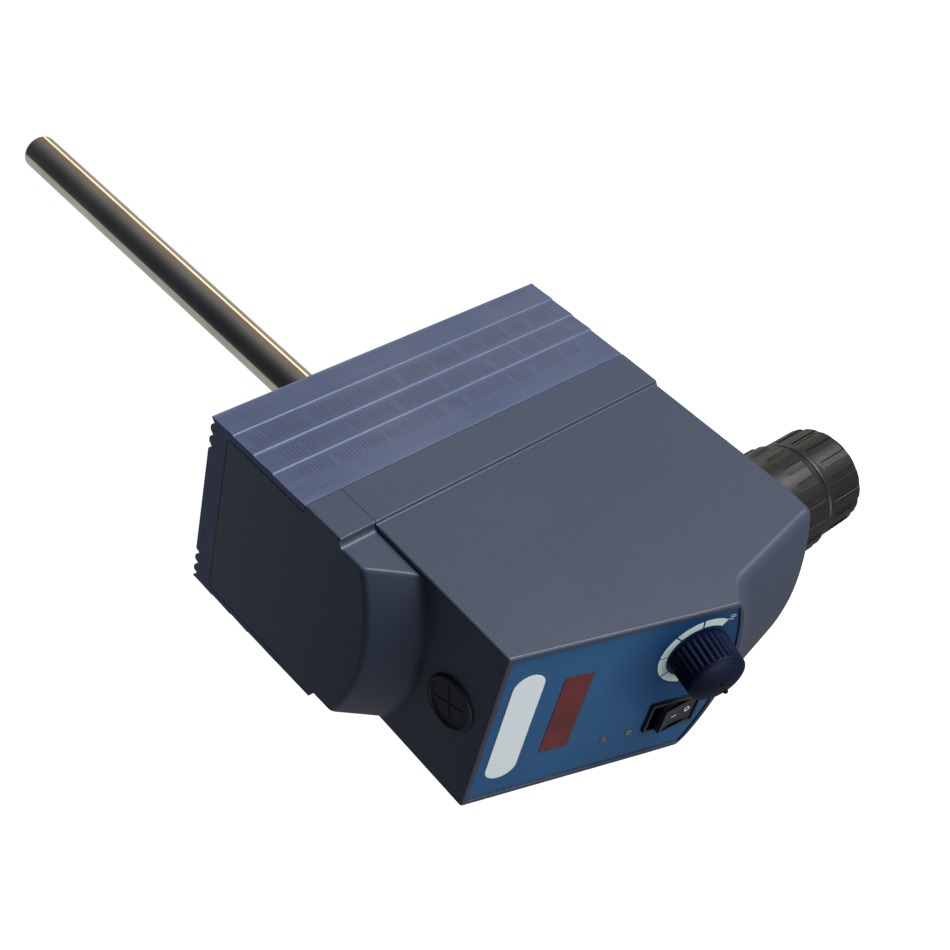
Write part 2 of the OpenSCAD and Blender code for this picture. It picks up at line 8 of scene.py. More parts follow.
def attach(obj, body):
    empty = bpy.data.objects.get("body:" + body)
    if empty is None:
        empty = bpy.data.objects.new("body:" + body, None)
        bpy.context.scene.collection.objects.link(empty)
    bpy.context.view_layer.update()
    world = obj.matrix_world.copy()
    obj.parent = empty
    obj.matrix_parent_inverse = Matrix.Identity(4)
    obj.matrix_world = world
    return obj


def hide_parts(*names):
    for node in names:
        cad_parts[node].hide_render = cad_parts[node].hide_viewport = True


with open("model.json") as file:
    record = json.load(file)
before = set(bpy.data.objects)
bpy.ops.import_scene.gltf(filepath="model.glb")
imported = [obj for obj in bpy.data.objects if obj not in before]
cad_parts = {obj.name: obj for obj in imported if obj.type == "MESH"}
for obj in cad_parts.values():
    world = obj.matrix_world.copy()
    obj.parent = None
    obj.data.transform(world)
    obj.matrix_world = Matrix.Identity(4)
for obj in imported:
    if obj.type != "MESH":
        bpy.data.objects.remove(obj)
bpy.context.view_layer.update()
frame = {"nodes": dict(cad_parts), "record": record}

MM = 0.001
NODES = frame["nodes"]
SLOT_OF = {s["node"]: s["material_slot"] for s in frame["record"]["subparts"]}
BODY_OF = {n: b for b, ns in frame["record"]["behaviour"]["bodies"].items() for n in ns}

# ---------------------------------------------------------------- camera
CAM = Vector((414.929, -318.415, 345.428)) * MM
RIGHT = Vector((0.19970599, -0.67188819, -0.71322071))
DOWN = Vector((-0.7177224, -0.59584099, 0.36034437))
FORWARD = Vector((-0.66707726, 0.43993155, -0.60122222))


def make_camera():
    data = bpy.data.cameras.new("camera")
    data.sensor_width = 36.0
    data.lens = 1586.19 / 950.0 * 36.0
    data.clip_start = 0.01
    data.clip_end = 50.0
    cam = bpy.data.objects.new("camera", data)
    rot = Matrix((RIGHT, -DOWN, -FORWARD)).transposed().to_4x4()
    cam.matrix_world = Matrix.Translation(CAM) @ rot
    bpy.context.scene.collection.objects.link(cam)
    bpy.context.scene.camera = cam


# ---------------------------------------------------------------- mesh tools
def as_object(name, verts, faces):
    """Object from points in millimetres, with doubles merged and faces turned outward."""
    bm = bmesh.new()
    vs = [bm.verts.new((x * MM, y * MM, z * MM)) for x, y, z in verts]
    for f in faces:
        try:
            bm.faces.new([vs[i] for i in f])
        except ValueError:
            pass
    bmesh.ops.remove_doubles(bm, verts=bm.verts, dist=2e-6)
    bmesh.ops.dissolve_degenerate(bm, edges=bm.edges, dist=1e-6)
    bmesh.ops.recalc_face_normals(bm, faces=bm.faces)
    me = bpy.data.meshes.new(name)
    bm.to_mesh(me)
    bm.free()
    o = bpy.data.objects.new(name, me)
    bpy.context.scene.collection.objects.link(o)
    return o


def loft(name, rows):
    """Closed solid through rows of equally many points; the end rows become caps."""
    n = len(rows[0])
    verts = [p for r in rows for p in r]
    faces = [tuple(reversed(range(n)))]
    for k in range(len(rows) - 1):
        a, b = k * n, (k + 1) * n
        for i in range(n):
            j = (i + 1) % n
            faces.append((a + i, a + j, b + j, b + i))
    faces.append(tuple((len(rows) - 1) * n + i for i in range(n)))
    return as_object(name, verts, faces)


def lathe(name, profile, seg=96, place=lambda p: p):
    """Turned solid from (radius, height) points, first and last on the axis."""
    verts, faces = [], []
    rings = []
    for r, h in profile:
        if r < 1e-6:
            rings.append([len(verts)])
            verts.append(place((0.0, 0.0, h)))
        else:
            rings.append(list(range(len(verts), len(verts) + seg)))
            for i in range(seg):
                a = 2 * math.pi * i / seg
                verts.append(place((r * math.cos(a), r * math.sin(a), h)))
    for a, b in zip(rings, rings[1:]):
        for i in range(seg):
            j = (i + 1) % seg
            if len(a) == 1 and len(b) == 1:
                continue
            if len(a) == 1:
                faces.append((a[0], b[i], b[j]))
            elif len(b) == 1:
                faces.append((a[i], a[j], b[0]))
            else:
                faces.append((a[i], a[j], b[j], b[i]))
    return as_object(name, verts, faces)


def prism(name, outline, place, lo, hi):
    """Solid between two parallel copies of a flat outline, put in place by place(x, y, h)."""
    return loft(name, [[place(x, y, h) for x, y in outline] for h in (lo, hi)])


def box(name, a, b):
    return prism(name, [(a[0], a[1]), (b[0], a[1]), (b[0], b[1]), (a[0], b[1])],
                 lambda x, y, h: (x, y, h), a[2], b[2])


def circle(cx, cy, r, seg=48):
    return [(cx + r * math.cos(2 * math.pi * i / seg), cy + r * math.sin(2 * math.pi * i / seg)) for i in range(seg)]


def carve(obj, cutters, op="DIFFERENCE"):
    """Subtracts the cutters from obj for good, and removes them."""
    for c in cutters:
        m = obj.modifiers.new("cut", "BOOLEAN")
        m.operation = op
        m.solver = "EXACT"
        m.object = c
    bpy.context.view_layer.update()
    me = bpy.data.meshes.new_from_object(obj.evaluated_get(bpy.context.evaluated_depsgraph_get()))
    obj.modifiers.clear()
    old = obj.data
    obj.data = me
    bpy.data.meshes.remove(old)
    for c in cutters:
        d = c.data
        bpy.data.objects.remove(c)
        bpy.data.meshes.remove(d)
    bm = bmesh.new()
    bm.from_mesh(obj.data)
    bmesh.ops.remove_doubles(bm, verts=bm.verts, dist=2e-6)
    bmesh.ops.dissolve_degenerate(bm, edges=bm.edges, dist=1e-6)
    bm.to_mesh(obj.data)
    bm.free()


def join(name, objs):
    bm = bmesh.new()
    for o in objs:
        bm.from_mesh(o.data)
        d = o.data
        bpy.data.objects.remove(o)
        bpy.data.meshes.remove(d)
    me = bpy.data.meshes.new(name)
    bm.to_mesh(me)
    bm.free()
    o = bpy.data.objects.new(name, me)
    bpy.context.scene.collection.objects.link(o)
    return o


def smooth(obj, angle=32.0):
    me = obj.data
    me.polygons.foreach_set("use_smooth", [True] * len(me.polygons))
    me.set_sharp_from_angle(angle=math.radians(angle))
    m = obj.modifiers.new("normals", "WEIGHTED_NORMAL")
    m.keep_sharp = True
    m.weight = 80


def settle(obj, nodes, mat=None, slot=None, body=None, angle=32.0):
    """Gives a piece its material and its body, smooths its shading, and hides the CAD nodes it stands for."""
    first = nodes[0] if nodes else None
    slot = slot or SLOT_OF[first]
    obj.data.materials.clear()
    obj.data.materials.append(mat or MATS[slot])
    smooth(obj, angle)
    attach(obj, body or BODY_OF[first])
    if nodes:
        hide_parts(*nodes)
    return obj


def refined(node, width, segments=2, limit=28.0, mat=None, angle=32.0):
    """A copy of a CAD node with its edges broken by small rounds."""
    bm = bmesh.new()
    bm.from_mesh(NODES[node].data)
    bmesh.ops.remove_doubles(bm, verts=bm.verts, dist=2e-6)
    bmesh.ops.dissolve_degenerate(bm, edges=bm.edges, dist=1e-7)
    bmesh.ops.dissolve_limit(bm, angle_limit=math.radians(0.6), verts=bm.verts, edges=bm.edges)
    sharp = [e for e in bm.edges if len(e.link_faces) == 2 and e.calc_face_angle(0.0) > math.radians(limit)]
    if width > 0:
        bmesh.ops.bevel(bm, geom=sharp, offset=width * MM, offset_type="OFFSET", segments=segments,
                        profile=0.5, affect="EDGES", clamp_overlap=True)
    bmesh.ops.remove_doubles(bm, verts=bm.verts, dist=1e-6)
    me = bpy.data.meshes.new(node + "_piece")
    bm.to_mesh(me)
    bm.free()
    o = bpy.data.objects.new(node + "_piece", me)
    bpy.context.scene.collection.objects.link(o)
    return settle(o, [node], mat=mat, angle=angle)


# ---------------------------------------------------------------- shared geometry, in millimetres
TILT = math.radians(17.7)
CT, ST = math.cos(TILT), math.sin(TILT)
KNOB = (18.0, 80.9)
SWITCH = (-16.3, 81.1)
SPINDLE_Y = -122.6


def on_panel(x, y, h):
    """Panel frame: x across, y up along the face (0 at its top edge), h outward."""
    return (x, -139.8 + y * ST - h * CT, 57.0 + y * CT + h * ST)


def at_knob(x, y, h):
    return on_panel(KNOB[0] + x, -KNOB[1] + y, h)


def fall(r, d):
    """How far a round of radius r has dropped at distance d from the face it starts on."""
    if r <= 0 or d >= r:
        return 0.0
    return r - math.sqrt(max(0.0, r * r - (r - d) ** 2))


def bezier(a, b, c, n):
    out = []
    for i in range(n + 1):
        t = i / n
        out.append(tuple((1 - t) ** 2 * a[k] + 2 * t * (1 - t) * b[k] + t * t * c[k] for k in range(len(a))))
    return out


def shrink(points, radii, d):
    """Moves each point of a closed [y, z] outline inward by its own round's drop at d."""
    n = len(points)
    area = sum(points[i][0] * points[(i + 1) % n][1] - points[(i + 1) % n][0] * points[i][1] for i in range(n))
    sign = 1.0 if area > 0 else -1.0
    out = []
    for i in range(n):
        k = fall(radii[i], d)
        a, b = points[i - 1], points[(i + 1) % n]
        ty, tz = b[0] - a[0], b[1] - a[1]
        ln = math.hypot(ty, tz) or 1.0
        out.append((points[i][0] - sign * tz / ln * k, points[i][1] + sign * ty / ln * k))
    return out


# ---------------------------------------------------------------- front housing
HALF = 40.2
BAND = 41.5
SEAM = 54.3
BOTTOM = -92.0
BACK = -52.35


def lip_s(x):
    x = abs(x)
    return 100.9 - 0.0055 * x * x - 0.035 * max(0.0, x - 34.0) ** 2


def nose_y(x, z):
    return -172.9 + (-23.0 - z) * 0.1918 + (9.1 + (z + 50.7) * 0.0373) * (x / HALF) ** 2


def housing_outline(x):
    """Side outline [y, z] of the housing at x, with a round's radius for each point."""
    x = max(-HALF, min(HALF, x))
    pts, rad = [], []

    def add(p, r):
        pts.append(p)
        rad.append(r)
    add((BACK, BOTTOM), 0.0)
    add((BACK, SEAM), 0.0)
    add((-71.0, SEAM), 0.9)
    for t in (0.02, 0.3, 0.6, 0.9):
        add((-71.0 - 68.8 * t, SEAM + 2.7 * t), 0.9)
    s1 = lip_s(x)
    z1, y1 = 57.0 - s1 * CT, -139.8 - s1 * ST
    top = (-139.8, 57.0)
    a = (-139.8 + 0.9, 57.0 - 0.035)
    c = (-139.8 - 0.9 * ST, 57.0 - 0.9 * CT)
    for p in bezier(a, top, c, 4):
        add(p, 0.85)
    for s in (0.1, 0.35, 0.6, 0.85):
        add((-139.8 - s1 * s * ST, 57.0 - s1 * s * CT), 0.8)
    back = nose_y(x, z1) - y1

    def front(dz):
        return (nose_y(x, z1 - dz) - back * max(0.0, 1 - dz / 13.0) ** 2, z1 - dz)
    for p in bezier((-139.8 - (s1 - 0.8) * ST, 57.0 - (s1 - 0.8) * CT), (y1, z1), front(0.8), 4):
        add(p, 1.1)
    for dz in (1.2, 2, 3, 4, 5, 6, 7, 8, 9, 10, 11, 12, 13):
        add(front(dz), 1.1 + 1.9 * min(1.0, dz / 9.0))
    zc = BOTTOM + 5.0
    for t in (0.08, 0.18, 0.3, 0.42, 0.55, 0.68, 0.8, 0.9, 0.96):
        z = (z1 - 13) + (zc - 0.9 - z1 + 13) * t
        add((nose_y(x, z), z), 3.0)
    lean = math.radians(10.86)
    yt = nose_y(x, zc - 5.0 * math.sin(lean)) + 5.0 * math.cos(lean)
    for k in range(9):
        f = lean + (math.pi / 2 - lean) * k / 8
        add((yt - 5.0 * math.cos(f), zc - 5.0 * math.sin(f)), 2.6)
    for y in (-140.0, -120.0, -95.0, -72.5, -66.0):
        add((y, BOTTOM), 1.2)
    return pts, rad


def inward(loop, d):
    """Closed flat outline moved inward by d along its corners' bisectors."""
    n = len(loop)
    area = sum(loop[i][0] * loop[(i + 1) % n][1] - loop[(i + 1) % n][0] * loop[i][1] for i in range(n))
    sign = 1.0 if area > 0 else -1.0
    out = []
    for i in range(n):
        (ax, ay), (bx, by), (cx, cy) = loop[i - 1], loop[i], loop[(i + 1) % n]
        l1, l2 = math.hypot(bx - ax, by - ay), math.hypot(cx - bx, cy - by)
        n1 = (-(by - ay) / l1 * sign, (bx - ax) / l1 * sign)
        n2 = (-(cy - by) / l2 * sign, (cx - bx) / l2 * sign)
        mx, my = n1[0] + n2[0], n1[1] + n2[1]
        q = max(0.5, mx * n1[0] + my * n1[1])
        out.append((bx + mx / q * d, by + my / q * d))
    return out


def mirrored(half):
    """Closed outline from its right half, listed from the back to the front."""
    return half + [(-x, y) for x, y in reversed(half)]


def band_block(name, cove_to, cove, levels):
    """Block round the seam: rounded front corner, and a cove that runs onto the narrower face at x = cove_to."""
    half = [(BAND - 0.25, BACK), (BAND, BACK - 0.25), (BAND, -70.4), (BAND - 0.05, -70.7), (BAND - 0.18, -70.9), (BAND - 0.45, -71.0)]
    for k in range(7):
        f = math.pi / 2 * k / 6
        half.append((cove_to + cove - cove * math.sin(f), -71.0 - cove + cove * math.cos(f)))
    half.append((cove_to - 1.2, -71.0 - cove))
    rows = []
    for z, d in levels:
        row = []
        for x, y in mirrored(half):
            side = 1.0 if x > 0 else -1.0
            if abs(x) > cove_to + cove - 0.01:
                y = max(y, -71.0 + d)
            row.append((side * min(abs(x), BAND - d), y, z))
        rows.append(row)
    return loft(name, rows)


def build_housing():
    rows = []
    gaps = [0.0, 0.04, 0.13, 0.27, 0.45, 0.7, 1.0, 1.4, 1.9, 2.5, 3.2]
    xs = [HALF - g for g in gaps] + [36.0, 34.5, 32.5, 30, 27, 24, 20, 16, 12, 8, 4]
    for x in xs:
        p, r = housing_outline(x)
        rows.append([(x, y, z) for y, z in shrink(p, r, HALF - x)])
    p, r = housing_outline(0.0)
    mid = [(0.0, y, z) for y, z in p]
    left = [[(-x, y, z) for x, y, z in row] for row in rows]
    o = loft("front_housing_piece", rows + [mid] + left[::-1])
    band = band_block("band", HALF, 0.75, [(BOTTOM, 0.3), (BOTTOM + 0.08, 0.13), (BOTTOM + 0.3, 0.0), (SEAM - 0.12, 0.0), (SEAM, 0.12)])
    carve(o, [band], "UNION")
    # hollow, as wide as the walls leave
    inner = [(-50, -89), (-50, 51.3), (-71, 51.3), (-134.2, 53.6), (-161.9, -31.6), (-157, -34), (-154.4, -49.3),
             (-152.4, -63.5), (-149.8, -78.4), (-147.5, -86.5), (-145, -89)]
    hollow = loft("hollow", [[(x, y, z) for y, z in inner] for x in (-37.2, 37.2)])
    mouth = panel_outline(2.55)
    recess = prism("recess", mouth, on_panel, -2.6, 6)
    flare = loft("flare", [[on_panel(x, y, h) for x, y in panel_outline(2.55 - d)] for h, d in ((-0.28, 0.0), (0.35, 0.63))])
    window = prism("window", panel_outline(6.5), on_panel, -20, -2)
    spindle = prism("spindle_hole", circle(0, SPINDLE_Y, 16, 72), lambda x, y, h: (x, y, h), -93, -88)
    seat = prism("seat", circle(0, SPINDLE_Y, 11.0, 72), lambda x, y, h: (x, y, h), 55.5, 70)
    seat2 = prism("seat2", circle(0, SPINDLE_Y, 9.0, 72), lambda x, y, h: (x, y, h), 49, 56)
    screws = [prism("hole%d" % i, circle(x, -98, 1.9, 24), lambda x, y, h: (x, y, h), -93, -88)
              for i, x in enumerate((-26, 26))]
    carve(o, [hollow, recess, flare, window, spindle, seat, seat2] + screws)
    settle(o, ["front_housing"], angle=40)


def panel_outline(d):
    w = HALF - d
    k = 0.78
    arc = [(w * i / 10, -(100.9 - 0.0055 * (w * i / 10) ** 2) + d * k) for i in range(-10, 11)]
    r = 1.0
    return [(w, -d - r), (w - 0.3 * r, -d - 0.3 * r), (w - r, -d), (-w + r, -d), (-w + 0.3 * r, -d - 0.3 * r), (-w, -d - r)] + arc


# ---------------------------------------------------------------- top cover
def cap_outline(x):
    """Outline [y, z] of the top cover's raised neck at x."""
    pts, rad = [], []

    def add(p, r):
        pts.append(p)
        rad.append(r)
    add((-60.0, SEAM + 0.12), 0.0)
    add((-60.0, 69.99), 0.0)
    add((-66.0, 69.99), 1.2)
    yt = -91.6 + x * x / 165.0
    yf = -105.9 + x * x / 137.0
    zf = SEAM + (-71.0 - yf) * 2.7 / 68.8
    sy, sz = yf - yt, zf - 70.0
    ln = math.hypot(sy, sz)
    uy, uz = sy / ln, sz / ln
    add((yt + 8, 69.99), 1.2)
    for p in bezier((yt + 1.8, 69.99), (yt, 69.99), (yt + uy * 1.8, 70.0 + uz * 1.8), 5):
        add(p, 1.2)
    add((yt + sy * 0.35, 70.0 + sz * 0.35), 1.2)
    add((yt + sy * 0.6, 70.0 + sz * 0.6), 1.2)
    for p in bezier((yf - uy * 2.2, zf - uz * 2.2), (yf, zf), (yf - 1.8, zf + 0.07), 5):
        add(p, 1.0)
    add((yf - 1.8, zf - 0.4), 0.0)
    add((-76.0, SEAM - 0.3), 0.0)
    return pts, rad


def build_top_cap():
    N = 38.0
    rows = []
    for g in (0.0, 0.05, 0.15, 0.3, 0.5, 0.75, 1.05, 1.3):
        p, r = cap_outline(N - g)
        rows.append([(N - g, y, z) for y, z in shrink(p, r, g)])
    for x in (35.5, 34, 32, 29, 26, 23, 20, 17, 14, 11, 8, 5, 2.5):
        p, r = cap_outline(x)
        rows.append([(x, y, z) for y, z in p])
    p, r = cap_outline(0.0)
    mid = [(0.0, y, z) for y, z in p]
    left = [[(-x, y, z) for x, y, z in row] for row in rows]
    neck = loft("neck", rows + [mid] + left[::-1])
    carve(neck, [loft("hollow", [[(x, y, z) for y, z in ((-63, 50), (-63, 67), (-84, 67), (-93, 57.5), (-93, 50))] for x in (-35.3, 35.3)])])
    band = band_block("band", N, 1.7, [(SEAM + 0.12, 0.1), (SEAM + 0.2, 0.0), (69.2, 0.0), (69.45, 0.05), (69.7, 0.17), (69.88, 0.35), (69.97, 0.55), (70.0, 0.75)])
    w = HW - 3.3 - 0.12
    plate = [(w - 2.0, WALL_Y - 0.12), (w - 1.2, WALL_Y - 0.3), (w - 0.5, WALL_Y - 0.8), (w - 0.12, WALL_Y - 1.6), (w, WALL_Y - 2.6), (w, -56.0)]
    cover = loft("cover", [[(x, y, z) for x, y in inward(mirrored(plate), d)] for z, d in ((66.6, 0.0), (69.73, 0.0), (69.88, 0.04), (69.95, 0.12), (69.98, 0.25))])
    carve(band, [box("hollow", (-36.8, -69.0, 50), (36.8, -54.5, 67))])
    o = join("top_cap_piece", [neck, band, cover])
    settle(o, ["top_cap"], angle=40)


# ---------------------------------------------------------------- rear extrusion
HW = 41.5
WALL_Y = -9.9
EXT_D = -52.1


def extrusion_profile():
    """Right half of the outline [x, y, where]; where is outer, rear or inner."""
    p = [(0.0, 0.0, "rear"), (13.0, 0.0, "rear")]
    for x in (27.1, 32.7, 38.3):
        p += [(x - 1.3, 0.0, "rear"), (x - 0.85, -0.3, "rear"), (x - 0.1, -2.6, "rear"),
              (x + 0.15, -2.6, "rear"), (x + 2.0, -0.35, "rear"), (x + 2.5, 0.0, "rear")]
    p[-1] = (HW - 0.75, 0.0, "rear")
    p += [(HW - 0.45, -0.12, "rear"), (HW - 0.3, -0.45, "outer")]

    def strip(y0, y1, lip):
        """Strip that rises to its lip, with a bevel down to the next one."""
        out = []
        for k in range(0, 7):
            t = k / 6.0
            out.append((HW - 0.46 + 0.4 * t ** 1.5 * (1 if lip else 0.55), y0 + (y1 - y0) * t, "outer"))
        if lip:
            out += [(HW - 0.04, y1 - 0.16, "outer"), (HW - 0.16, y1 - 0.36, "outer")]
        return out
    p += strip(-1.0, -11.7, True)
    p += strip(-12.5, -23.3, True)
    p += strip(-24.2, -34.1, True)
    p += strip(-35.0, -51.6, False)
    p += [(HW - 0.32, EXT_D, "outer"),
          (HW - 2.8, EXT_D, "inner"), (HW - 3.25, EXT_D + 0.45, "inner"),
          (HW - 3.3, WALL_Y - 2.6, "inner"), (HW - 3.5, WALL_Y - 1.5, "inner"), (HW - 4.1, WALL_Y - 0.6, "inner"), (HW - 5.3, WALL_Y, "inner"),
          (0.0, WALL_Y, "inner")]
    return p


def rib_dips():
    """Heights z and depths of the shallow cross ribs, by strip."""
    out = {1: [], 2: [], 3: []}
    seed = 7
    for k, (lo, hi, pitch) in {1: (-84, 66, 1.35), 2: (-84, 64, 1.5), 3: (-78, 62, 1.42)}.items():
        z, run = hi, 0
        while z > lo:
            seed = (seed * 16807) % 2147483647
            u = seed / 2147483647.0
            if run <= 0:
                run = 4 + int(u * 11)
                z -= pitch * (0.4 + 2.2 * ((u * 7) % 1.0))
            run -= 1
            out[k].append((z, 0.5 + 0.5 * ((u * 13) % 1.0)))
            z -= pitch * (0.9 + 0.25 * ((u * 29) % 1.0))
    return out


def build_extrusion():
    half = extrusion_profile()
    outline = half + [(-x, y, w) for x, y, w in reversed(half[1:-1])]

    flat = [(x, y) for x, y, w in outline]
    zs = [(70.0, 0.24), (69.95, 0.12), (69.85, 0.04), (69.7, 0.0)]
    levels = zs + [(-z - 22.0, i) for z, i in zs[::-1]]
    rows = [[(x, y, z) for x, y in (inward(flat, i) if i else flat)] for z, i in levels]
    o = loft("rear_extrusion_piece", rows)
    back = lambda x, z, h: (x, -h, z)
    cutters = [prism("rod_hole", circle(0, 0, 6, 48), back, -1, 12)]
    for i, (x, z) in enumerate([(x, z) for x in (-26, 26) for z in (-74, -34)]):
        cutters.append(prism("bore%d" % i, circle(x, z, 2.1, 32), back, -1, 12))
        cutters.append(prism("counter%d" % i, circle(x, z, 4.0, 48), back, -1, 4))
    cutters.append(box("inlet_cut", (-14.2, -11, 44.8), (14.2, 1, 65.2)))
    cutters.append(box("fuse_cut", (17.8, -11, 47.8), (24.2, 1, 62.2)))
    carve(o, cutters)
    settle(o, ["rear_extrusion"], angle=35)
    # shallow cross ribs, low bars that follow the crowned strips, coloured darker as painted shade of fine grooves
    bars = []
    dips = rib_dips()
    spans = {1: (-14.2, -21.6), 2: (-26.0, -32.8), 3: (-36.9, -42.6)}
    ends = {1: (-12.5, -23.3), 2: (-24.2, -34.1), 3: (-35.0, -51.6)}
    verts, faces = [], []
    for k in (1, 2, 3):
        y0, y1 = spans[k]
        e0, e1 = ends[k]
        for z, h in dips[k]:
            for s in (1, -1):
                cols = []
                for i in range(5):
                    t = i / 4
                    y = y0 + (y1 - y0) * t
                    base = HW - 0.46 + 0.4 * max(0.0, (y - e0) / (e1 - e0)) ** 1.5 * (0.55 if k == 3 else 1.0)
                    lift = 0.07 * h * math.sin(math.pi * (0.1 + 0.8 * t))
                    c = []
                    for dz, kx in ((0.4, -0.07), (0.13, lift), (-0.13, lift), (-0.4, -0.07)):
                        c.append((s * (base + kx), y, z + dz))
                    cols.append(c)
                n0 = len(verts)
                for c in cols:
                    verts += c
                for i in range(4):
                    for j in range(4):
                        a = n0 + i * 4 + j
                        b = n0 + i * 4 + (j + 1) % 4
                        faces.append((a, b, b + 4, a + 4))
                faces.append((n0, n0 + 3, n0 + 2, n0 + 1))
                faces.append((n0 + 16, n0 + 17, n0 + 18, n0 + 19))
    ribs = as_object("extrusion_ribs", verts, faces)
    settle(ribs, [], mat=MATS["extrusion_rib"], slot="extrusion", body="stirrer_body", angle=60)


# ---------------------------------------------------------------- speed knob
def build_knob():
    n, per = 30, 10
    rows = []
    for z, r, depth in ((0.4, 11.0, 0.0), (0.45, 11.4, 0.3), (0.7, 11.58, 0.62), (2.5, 11.56, 0.78), (5.0, 11.48, 0.8), (8.0, 11.36, 0.8),
                        (10.4, 11.26, 0.78), (11.3, 11.22, 0.62), (11.75, 11.2, 0.38), (11.95, 11.15, 0.12)):
        ring = []
        for i in range(n * per):
            a = 2 * math.pi * i / (n * per)
            w = abs(math.cos(n * a / 2))
            rr = r - depth * (1 - w ** 0.75)
            ring.append(at_knob(rr * math.cos(a), rr * math.sin(a), z))
        rows.append(ring)
    o = loft("speed_knob_piece", rows)
    settle(o, ["speed_knob"], angle=55)
    prof = [(0, 11.8), (10.6, 11.8), (11.05, 11.86), (11.2, 12.1), (11.15, 12.45), (10.9, 12.8), (10.4, 13.15), (9.6, 13.6), (8.6, 14.0), (7.4, 14.42),
            (6.0, 14.8), (4.5, 15.12), (3.0, 15.35), (1.6, 15.47), (1.05, 15.5), (0.85, 15.45), (0.74, 15.3), (0.68, 14.9), (0, 14.85)]
    cap = lathe("cap", prof, 128, lambda p: at_knob(*p))
    a = math.radians(216)
    cx, cy = 8.3 * math.cos(a), 8.3 * math.sin(a)
    nib = lathe("nib", [(0, 13.2), (1.15, 13.2), (1.0, 14.2), (0.8, 14.75), (0.5, 14.98), (0, 15.05)], 24,
                lambda p: at_knob(cx + p[0], cy + p[1], p[2]))
    carve(cap, [nib], "UNION")
    cap.name = "knob_cap_piece"
    settle(cap, ["knob_cap"], angle=50)


# ---------------------------------------------------------------- rocker
ROCK = math.radians(12)


def at_rocker(x, y, h):
    yy = y * math.cos(ROCK) - h * math.sin(ROCK)
    hh = y * math.sin(ROCK) + h * math.cos(ROCK)
    return on_panel(SWITCH[0] + x, -SWITCH[1] + yy, -5.5 + hh)


def rocker_top(y):
    return 6.7 + 1.1 * (y / 8.0) ** 2


def build_rocker():
    top = [(-8 + 16 * k / 20, rocker_top(-8 + 16 * k / 20)) for k in range(21)]
    outline = [(-7.75, 2.0)] + [(-7.98, 7.4), (-7.9, 7.68)] + top[1:-1] + [(7.9, 7.68), (7.98, 7.4), (7.75, 2.0), (5.5, -2), (2, -3.4), (-2, -3.4), (-5.5, -2)]
    rows = []
    for x, d in ((6.2, 0.0), (6.13, 0.12), (6.0, 0.26), (5.8, 0.4), (0.0, 5.0)):
        rad = [0.45] * len(outline)
        rows.append([at_rocker(x, y, h) for y, h in shrink(outline, rad, d)])
    rows2 = []
    for x, d in ((-5.8, 0.4), (-6.0, 0.26), (-6.13, 0.12), (-6.2, 0.0)):
        rows2.append([at_rocker(x, y, h) for y, h in shrink(outline, [0.45] * len(outline), d)])
    body = loft("body", rows + rows2)
    pin = loft("pin", [[at_rocker(x, y, h) for y, h in circle(0, 0, 1.2, 24)] for x in (-6.4, 6.4)])
    o = join("switch_rocker_piece", [body, pin])
    settle(o, ["switch_rocker"], angle=35)
    # marks: a bar for on and a ring for off, printed into the top
    verts, faces = [], []

    def sheet(loop_out, loop_in):
        n = len(loop_out)
        base = len(verts)
        for loop in (loop_out, loop_in):
            for lift in (0.03, -0.05):
                for x, y in loop:
                    verts.append(at_rocker(x, y, rocker_top(y) + lift))
        for i in range(n):
            j = (i + 1) % n
            A, B, C, D = base, base + n, base + 2 * n, base + 3 * n
            faces.append((A + i, A + j, C + j, C + i))
            faces.append((B + j, B + i, D + i, D + j))
            faces.append((A + j, A + i, B + i, B + j))
            faces.append((C + i, C + j, D + j, D + i))
    ring = [(0.3 + 1.5 * math.cos(a), -4.9 + 1.1 * math.sin(a)) for a in [2 * math.pi * k / 32 for k in range(32)]]
    hole = [(0.3 + 1.0 * math.cos(a), -4.9 + 0.6 * math.sin(a)) for a in [2 * math.pi * k / 32 for k in range(32)]]
    sheet(ring, hole)
    base = len(verts)
    for lift in (0.03, -0.05):
        for x, y in ((-0.75, -0.4), (-0.3, -0.4), (-0.3, 2.3), (-0.75, 2.3)):
            verts.append(at_rocker(x - 0.4, y, rocker_top(y) + lift))
    faces.append((base, base + 1, base + 2, base + 3))
    faces.append((base + 7, base + 6, base + 5, base + 4))
    for i in range(4):
        j = (i + 1) % 4
        faces.append((base + j, base + i, base + 4 + i, base + 4 + j))
    m = as_object("rocker_marks", verts, faces)
    settle(m, [], mat=MATS["mark"], slot="print", body="rocker", angle=30)


# ---------------------------------------------------------------- rod
def build_rod():
    prof = [(0, -20), (5.6, -20), (6, -19.6), (6, 0), (8, 0)] + [(8, h) for h in (20, 60, 110, 160, 200)] + \
           [(8, 218.6), (7.9, 219.0), (7.6, 219.45), (7.15, 219.8), (6.7, 219.97), (6.2, 220), (3, 220), (0, 220)]
    o = lathe("support_rod_piece", prof, 160, lambda p: (p[0], p[2], p[1]))
    settle(o, ["support_rod"], angle=40)


